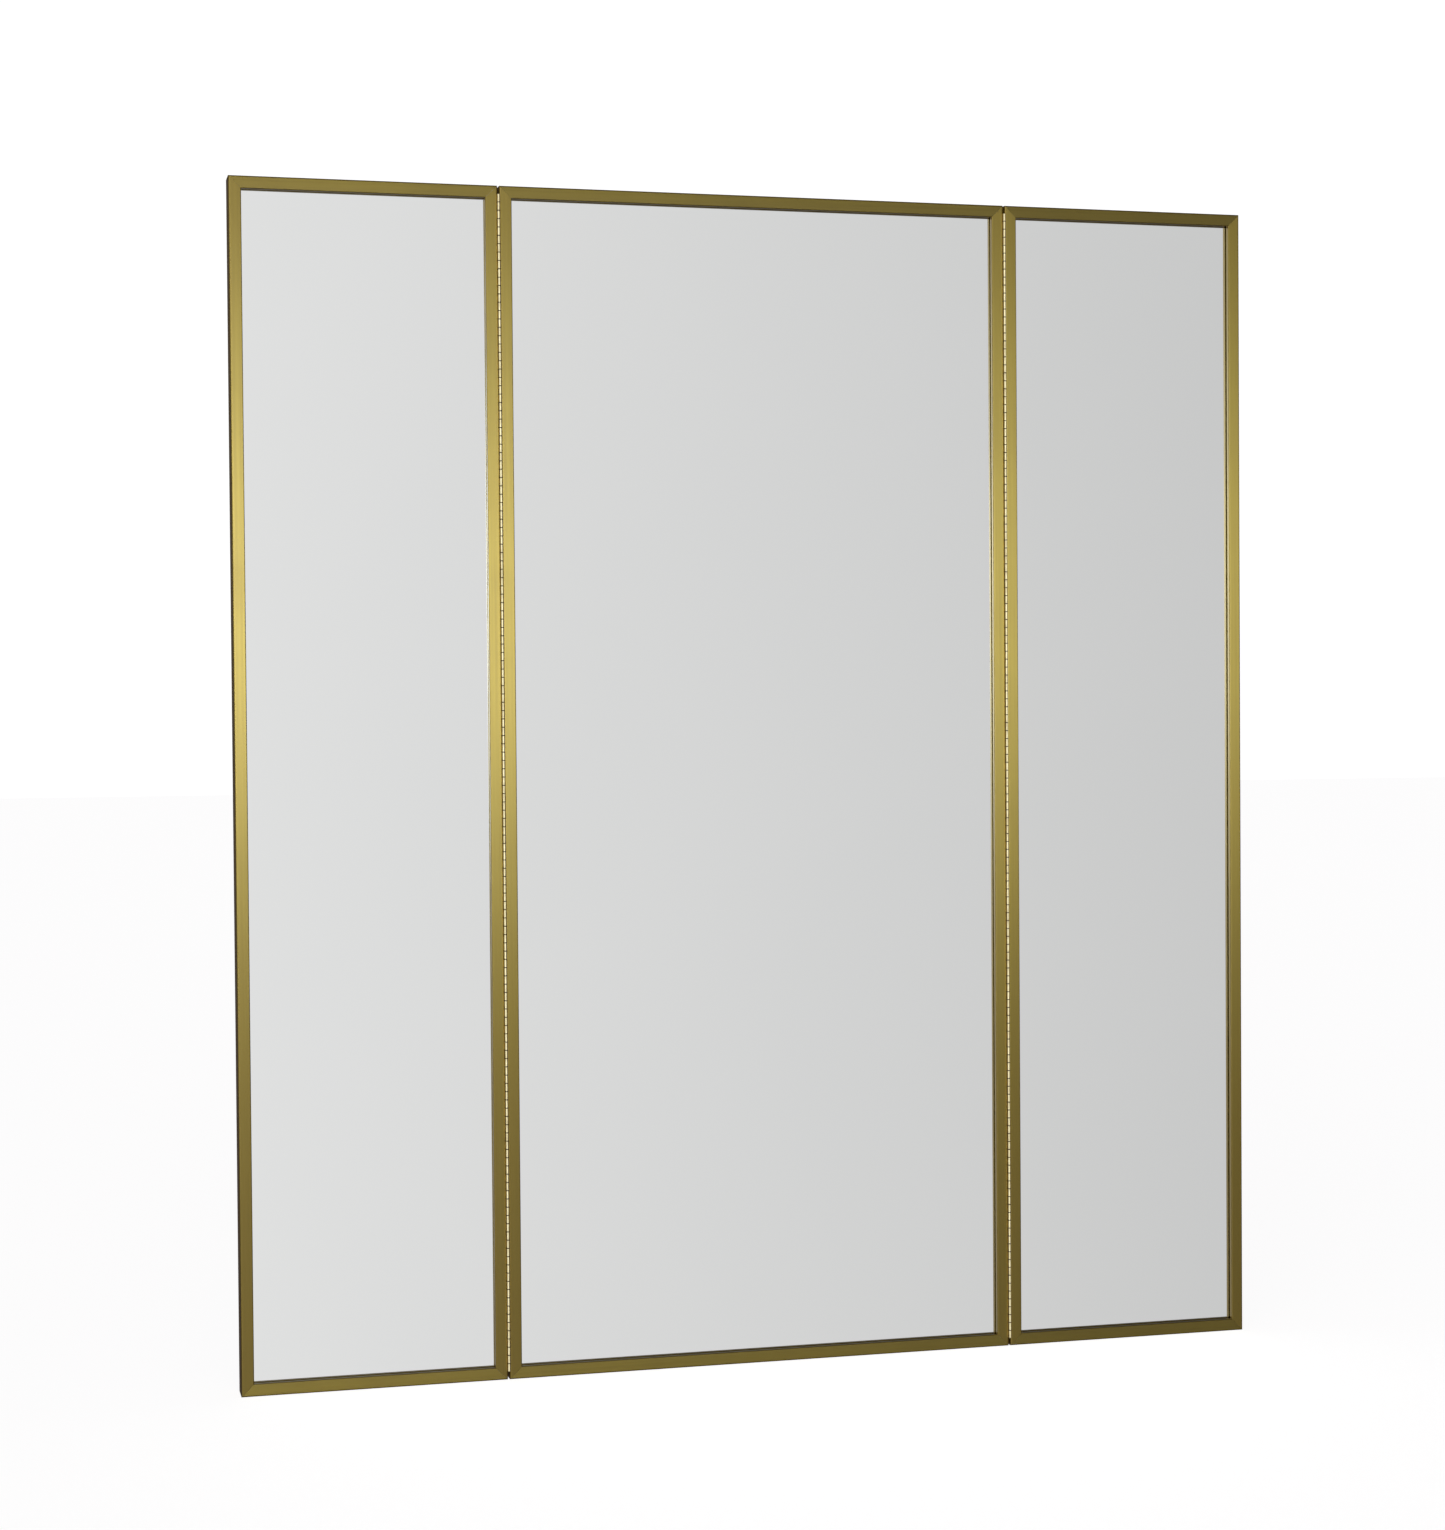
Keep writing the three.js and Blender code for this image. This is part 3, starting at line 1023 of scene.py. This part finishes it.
def dress_hidden_stock(panel: Panel) -> None:
    """Gives a panel's corner keys and battens, which stay as the frame has them, their finishes.

    Args:
        panel: the panel that holds them.
    """
    for node_name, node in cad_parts.items():
        if not node_name.startswith(panel.name + "_"):
            continue
        if "_key_" in node_name:
            finish = ALUMINIUM
        elif "_batten_" in node_name:
            upright = node_name.endswith(("left", "right"))
            finish = PINE[Grain.UPRIGHT if upright else Grain.LEVEL]
        else:
            continue
        node.data.materials.clear()
        node.data.materials.append(finish.material())
        log.info("%s: kept, dressed in %s", node_name, finish.name)


# ------------------------------------------------------------------ hinges


@dataclass
class ContinuousHinge:
    """A full-height hinge: two leaves with rolled knuckles, one pin and the leaves' screws."""

    side: Side
    pitch: float = 12.7 * MM
    sheet: float = 1.0 * MM
    leaves_apart: float = 0.8 * MM
    bore_clearance: float = 0.1 * MM
    knuckle_clearance: float = 0.3 * MM
    notch: float = 0.5 * MM
    mouth: float = 0.7 * MM
    roll_steps: int = 12
    knuckle_ease: float = 0.5 * MM
    screw: Screw = field(default_factory=lambda: Screw(3.4 * MM, 1.7 * MM, cone=1.2 * MM))
    screw_every: int = 8  # knuckles from one screw to the next on the same leaf
    first_screw: float = 1.5  # knuckles from the foot to the first one
    turn_step: float = 0.9
    smooth: float = 40.0
    pin_sides: int = 24

    def __post_init__(self) -> None:
        """Takes the pin's line, radius and length from its node."""
        low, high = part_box(self.node("pin"))
        self.axis = Vector(((low.x + high.x) / 2, (low.y + high.y) / 2, low.z))
        self.length = high.z - low.z
        self.pin_radius = (high.x - low.x) / 2
        self.barrel = self.pin_radius + self.bore_clearance + self.sheet
        self.knuckles = round(self.length / self.pitch)
        self.leaf_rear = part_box(self.node("centre_leaf"))[1].y - self.axis.y

    def node(self, part: str) -> str:
        """The node name of one of the hinge's parts."""
        return f"{self.side.word}_hinge_{part}"

    def leaf(self, first: int) -> bmesh.types.BMesh:
        """Rolls a leaf for the stile on the pin's +X side, from the pin's foot at the origin.

        Args:
            first: the number of its lowest knuckle, 0 or 1.

        Returns:
            The leaf: a flat plate whose front edge is cut and rolled into every second knuckle.
        """
        end = self.knuckle_clearance / 2
        stile_side = self.leaves_apart / 2 + self.sheet
        stops = {end, self.length - end}
        for knuckle in range(first, self.knuckles, 2):
            stops |= {knuckle * self.pitch + end, (knuckle + 1) * self.pitch - end}
        bm = bmesh.new()
        heights = sorted({round(stop, 6) for stop in stops})
        chain = [bm.verts.new((stile_side, self.leaf_rear, z)) for z in heights]
        edges = [bm.edges.new(pair) for pair in zip(chain, chain[1:])]
        edges = self.drawn_to(bm, edges, self.barrel + self.notch)
        edges = [edge for edge in edges if self.is_knuckle(edge, first)]
        start = math.acos(stile_side / self.barrel)
        edges = self.drawn_to(bm, edges, self.barrel * math.sin(start))
        finish = math.acos((self.leaves_apart / 2 - self.mouth) / self.barrel) - WHOLE_TURN
        bmesh.ops.spin(bm, geom=edges, cent=(0, 0, 0), axis=(0, 0, 1), angle=finish - start,
                       steps=self.roll_steps)
        bmesh.ops.recalc_face_normals(bm, faces=bm.faces[:])
        outwards = next(f for f in bm.faces if abs(f.normal.x) > 0.99).normal.x
        bmesh.ops.solidify(bm, geom=bm.faces[:], thickness=math.copysign(self.sheet, outwards))
        bmesh.ops.recalc_face_normals(bm, faces=bm.faces[:])
        ends = [edge for edge in bm.edges if self.on_knuckle_end(edge)]
        bmesh.ops.bevel(bm, geom=ends, offset=self.knuckle_ease, segments=1, profile=0.5,
                        affect="EDGES", material=-1, clamp_overlap=True)
        return bm

    def drawn_to(self, bm: bmesh.types.BMesh, edges: list[bmesh.types.BMEdge],
                 y: float) -> list[bmesh.types.BMEdge]:
        """Extrudes upright edges forward as a flat strip.

        Args:
            bm: the bmesh that holds them.
            edges: the edges to extrude.
            y: how far forward the strip goes.

        Returns:
            The strip's front edges.
        """
        made = bmesh.ops.extrude_edge_only(bm, edges=edges)["geom"]
        for vert in (item for item in made if isinstance(item, bmesh.types.BMVert)):
            vert.co.y = y
        return [item for item in made if isinstance(item, bmesh.types.BMEdge)
                and abs(item.verts[0].co.y - item.verts[1].co.y) < self.notch / 10
                and abs(item.verts[0].co.y - y) < self.notch / 10]

    def is_knuckle(self, edge: bmesh.types.BMEdge, first: int) -> bool:
        """Whether an upright edge spans exactly one of the leaf's own knuckles.

        Args:
            edge: the edge.
            first: the number of the leaf's lowest knuckle.

        Returns:
            Whether it does.
        """
        low, high = sorted(vert.co.z for vert in edge.verts)
        return high - low < self.pitch and int(low / self.pitch) % 2 == first

    def on_knuckle_end(self, edge: bmesh.types.BMEdge) -> bool:
        """Whether an edge runs round the outside of a knuckle's end.

        Args:
            edge: the edge.

        Returns:
            Whether it does.
        """
        level = abs(edge.verts[0].co.z - edge.verts[1].co.z) < self.sheet / 100
        radii = [vert.co.xy.length for vert in edge.verts]
        return level and all(abs(radius - self.barrel) < self.sheet / 10 for radius in radii)

    def screw_places(self, first: int) -> list[Matrix]:
        """Where a leaf's screws sit on its gap side, as the leaf is rolled.

        Args:
            first: the number of its lowest knuckle, which sets the screws' stagger.

        Returns:
            A place for each screw's head.
        """
        middle = (self.barrel + self.notch + self.leaf_rear) / 2
        offset = self.first_screw + first * self.screw_every / 2
        count = int((self.knuckles - offset - 1) // self.screw_every) + 1
        facing_gap = Matrix.Rotation(-QUARTER_TURN, 4, "Y")
        heights = [(offset + i * self.screw_every) * self.pitch for i in range(count)]
        return [Matrix.Translation((self.leaves_apart / 2, middle, z)) @ facing_gap
                @ Matrix.Rotation(self.turn_step * i, 4, "Z") for i, z in enumerate(heights)]

    def build(self) -> list[bpy.types.Object]:
        """Builds the leaves with their screws, and the pin.

        Returns:
            The leaves, the screws and the pin.
        """
        wing = f"{self.side.word}_wing"
        pieces = [self.build_pin()]
        for part, body, first, towards in (
            ("centre_leaf", "centre_panel", 0, -self.side.value),
            ("wing_leaf", wing, 1, self.side.value),
        ):
            screws = bmesh.new()
            stamp(screws, self.screw.head(), self.screw_places(first))
            for word, bm in ((part, self.leaf(first)), (f"{part}_screws", screws)):
                bmesh.ops.scale(bm, vec=(towards, 1, 1), verts=bm.verts[:])
                bmesh.ops.translate(bm, vec=self.axis, verts=bm.verts[:])
                bmesh.ops.recalc_face_normals(bm, faces=bm.faces[:])
                stands_for = (self.node(part),) if word == part else ()
                piece = make_piece(f"{self.side.word}_{word}", bm, ROLLED, self.smooth)
                pieces.append(place_piece(piece, body, "hinge_brass", *stands_for))
        return pieces

    def build_pin(self) -> bpy.types.Object:
        """Builds the pin, with its two ends rounded over.

        Returns:
            The pin.
        """
        bm = bmesh.new()
        middle = self.axis + Vector((0, 0, self.length / 2))
        bmesh.ops.create_cone(bm, cap_ends=True, segments=self.pin_sides, radius1=self.pin_radius,
                              radius2=self.pin_radius, depth=self.length,
                              matrix=Matrix.Translation(middle))
        rims = [edge for edge in bm.edges if any(len(face.verts) > 4 for face in edge.link_faces)]
        bmesh.ops.bevel(bm, geom=rims, offset=self.pin_radius / 2, segments=3, profile=0.5,
                        affect="EDGES", material=-1)
        piece = make_piece(f"{self.side.word}_pin", bm, ROLLED)
        return place_piece(piece, "centre_panel", "hinge_brass", self.node("pin"))


# ------------------------------------------------------------------ studio


@dataclass(frozen=True)
class Bank:
    """A soft-edged bank of light that only reflections see, placed in degrees about the screen."""

    turn: float  # its middle, to the right of -Y
    turn_spread: float
    rise: float  # its middle, above the horizon
    rise_spread: float
    light: float
    tint: Colour = (1.0, 1.0, 1.0)

    def glow(self, g: Graph, turn: bpy.types.NodeSocket,
             rise: bpy.types.NodeSocket) -> bpy.types.NodeSocket:
        """Wires the bank's light.

        Args:
            g: the world's graph.
            turn: degrees to the right of -Y.
            rise: degrees above the horizon.

        Returns:
            Its light in every direction.
        """
        across = self.bell(g, turn, self.turn, self.turn_spread)
        up = self.bell(g, rise, self.rise, self.rise_spread)
        amount = g.math("MULTIPLY", g.math("MULTIPLY", across, up), self.light)
        return g.blend(1.0, (*self.tint, 1), grey(g, amount), "MULTIPLY")

    @staticmethod
    def bell(g: Graph, value: bpy.types.NodeSocket, middle: float,
             spread: float) -> bpy.types.NodeSocket:
        """A smooth bump of height 1 about a middle value.

        Args:
            g: the world's graph.
            value: what the bump is a function of.
            middle: where it is 1.
            spread: how far from there it falls to 0.6.

        Returns:
            The bump's socket.
        """
        away = g.math("DIVIDE", g.math("SUBTRACT", value, middle), spread)
        return g.math("EXPONENT", g.math("MULTIPLY", g.math("MULTIPLY", away, away), -0.5))


def grey(g: Graph, value: bpy.types.NodeSocket) -> bpy.types.NodeSocket:
    """A grey colour of the given value."""
    return g.add("ShaderNodeCombineColor", {0: value, 1: value, 2: value}).outputs[0]


@dataclass(frozen=True)
class Studio:
    """Camera, floor and light."""

    camera_at: Colour = (-1.1144, -4.1801, 1.0315)
    turn: float = math.radians(14.194)  # to the right of straight ahead
    dip: float = math.radians(1.205)
    roll: float = math.radians(0.426)
    lens_over_height: float = 2748.4 / 1530
    sensor_height: float = 24.0
    sight: float = 100.0
    floor_half: float = 30.0
    floor_tone: float = 0.9
    backdrop: float = 1.05
    room: Colour = (0.060, 0.056, 0.055)
    behind: Colour = (0.050, 0.042, 0.050)  # the room behind the screen
    side_turns: tuple[float, float] = (85.0, 110.0)  # where the room gives way to that
    banks: tuple[Bank, ...] = (
        Bank(-7.0, 20.0, 2.2, 3.2, 2.35, (0.93, 1.03, 1.08)),  # the softbox beside the camera
        Bank(-24.0, 20.0, 6.0, 24.0, 0.60),  # a tall screen on its left
        Bank(18.0, 16.0, -15.0, 7.0, 0.08),  # light off the floor
    )
    dome_turn: float = math.radians(-14.0)  # a broad, even light kept to the round knuckles
    dome_width: float = math.radians(140.0)
    dome_light: float = 1.75
    card_turns: tuple[float, float] = (-5.0, 60.0)  # the card that the mirrors reflect
    card_tones: tuple[float, float] = (0.874, 0.326)
    card_depth: float = 2.5  # above the ray depth of a first reflection, below a second's

    def add_camera(self) -> None:
        """Makes the camera and sets it as the scene's."""
        data = bpy.data.cameras.new("camera")
        data.sensor_fit = "VERTICAL"
        data.sensor_height = self.sensor_height
        data.lens = data.sensor_height * self.lens_over_height
        data.clip_end = self.sight
        camera = bpy.data.objects.new("camera", data)
        ahead = Vector((math.sin(self.turn) * math.cos(self.dip),
                        math.cos(self.turn) * math.cos(self.dip), -math.sin(self.dip)))
        level_right = Vector((math.cos(self.turn), -math.sin(self.turn), 0))
        level_up = level_right.cross(ahead)
        right = level_right * math.cos(self.roll) - level_up * math.sin(self.roll)
        up = level_right * math.sin(self.roll) + level_up * math.cos(self.roll)
        rotation = Matrix((right, up, -ahead)).transposed()
        camera.matrix_world = Matrix.Translation(self.camera_at) @ rotation.to_4x4()
        bpy.context.scene.collection.objects.link(camera)
        bpy.context.scene.camera = camera

    def add_floor(self) -> None:
        """Lays a plain pale floor that fades into the backdrop."""
        bm = bmesh.new()
        bmesh.ops.create_grid(bm, x_segments=1, y_segments=1, size=self.floor_half)
        mesh = bpy.data.meshes.new("floor")
        bm.to_mesh(mesh)
        bm.free()
        floor = bpy.data.objects.new("floor", mesh)
        material = bpy.data.materials.new("pale_floor")
        material.use_nodes = True
        shader = material.node_tree.nodes["Principled BSDF"]
        shader.inputs["Base Color"].default_value = (*[self.floor_tone] * 3, 1)
        shader.inputs["Roughness"].default_value = self.floor_tone
        shader.inputs["Emission Color"].default_value = (1, 1, 1, 1)
        shader.inputs["Emission Strength"].default_value = self.floor_tone
        mesh.materials.append(material)
        floor.visible_glossy = False
        bpy.context.scene.collection.objects.link(floor)

    def add_light(self) -> None:
        """Wires the surroundings: a white backdrop, and a studio that only reflections see."""
        world = bpy.data.worlds.new("studio")
        bpy.context.scene.world = world
        world.use_nodes = True
        g = Graph(world.node_tree)
        parts = g.add("ShaderNodeSeparateXYZ", {0: g.add("ShaderNodeTexCoord").outputs["Generated"]})
        x, y, z = (parts.outputs[axis] for axis in "XYZ")
        to_degrees = 180 / math.pi
        turn = g.math("MULTIPLY", g.math("ARCTAN2", x, g.math("MULTIPLY", y, -1.0)), to_degrees)
        rise = g.math("MULTIPLY", g.math("ARCSINE", z), to_degrees)
        aside = g.remap(g.math("ABSOLUTE", turn), *self.side_turns, 0.0, 1.0)
        lit = g.blend(aside, (*self.room, 1), (*self.behind, 1))
        for bank in self.banks:
            lit = g.blend(1.0, lit, bank.glow(g, turn, rise), "ADD")
        card = grey(g, g.remap(turn, *self.card_turns, *self.card_tones))
        rays = g.add("ShaderNodeLightPath")
        first_bounce = g.math("LESS_THAN", rays.outputs["Ray Depth"], self.card_depth)
        off_mirror = g.math("MULTIPLY", rays.outputs["Is Singular Ray"], first_bounce)
        seen = g.blend(off_mirror, lit, card)
        seen = g.blend(rays.outputs["Is Camera Ray"], seen, (*[self.backdrop] * 3, 1))
        background = world.node_tree.nodes["Background"]
        g.tree.links.new(seen, background.inputs["Color"])

    def add_dome(self, pieces: Iterable[bpy.types.Object]) -> None:
        """Lights the hinges' round knuckles from all across the front.

        Args:
            pieces: the hinge pieces, which alone take this light.
        """
        data = bpy.data.lights.new("dome", "SUN")
        data.angle = self.dome_width
        data.energy = self.dome_light
        dome = bpy.data.objects.new("dome", data)
        dome.matrix_world = (Matrix.Rotation(self.dome_turn, 4, "Z")
                             @ Matrix.Rotation(QUARTER_TURN, 4, "X"))
        bpy.context.scene.collection.objects.link(dome)
        lit = bpy.data.collections.new("lit_by_dome")
        for piece in pieces:
            lit.objects.link(piece)
        dome.light_linking.receiver_collection = lit

    def build(self) -> None:
        """Adds everything that isn't part of the screen."""
        self.add_camera()
        self.add_floor()
        self.add_light()
        bpy.context.scene.view_settings.view_transform = "Standard"


PANELS = (Panel("left_wing", "left_wing"), Panel("centre", "centre_panel"),
          Panel("right_wing", "right_wing"))


def main() -> None:
    """Builds the studio and the screen, and reports each piece."""
    logging.basicConfig(level=logging.INFO, format="%(name)s: %(message)s")
    studio = Studio()
    studio.build()
    for panel in PANELS:
        MitredFrame(panel).build()
        MirrorSheet(panel).build()
        BackBoard(panel).build()
        dress_hidden_stock(panel)
    studio.add_dome([piece for side in Side for piece in ContinuousHinge(side).build()])


if __name__ == "__main__":
    main()
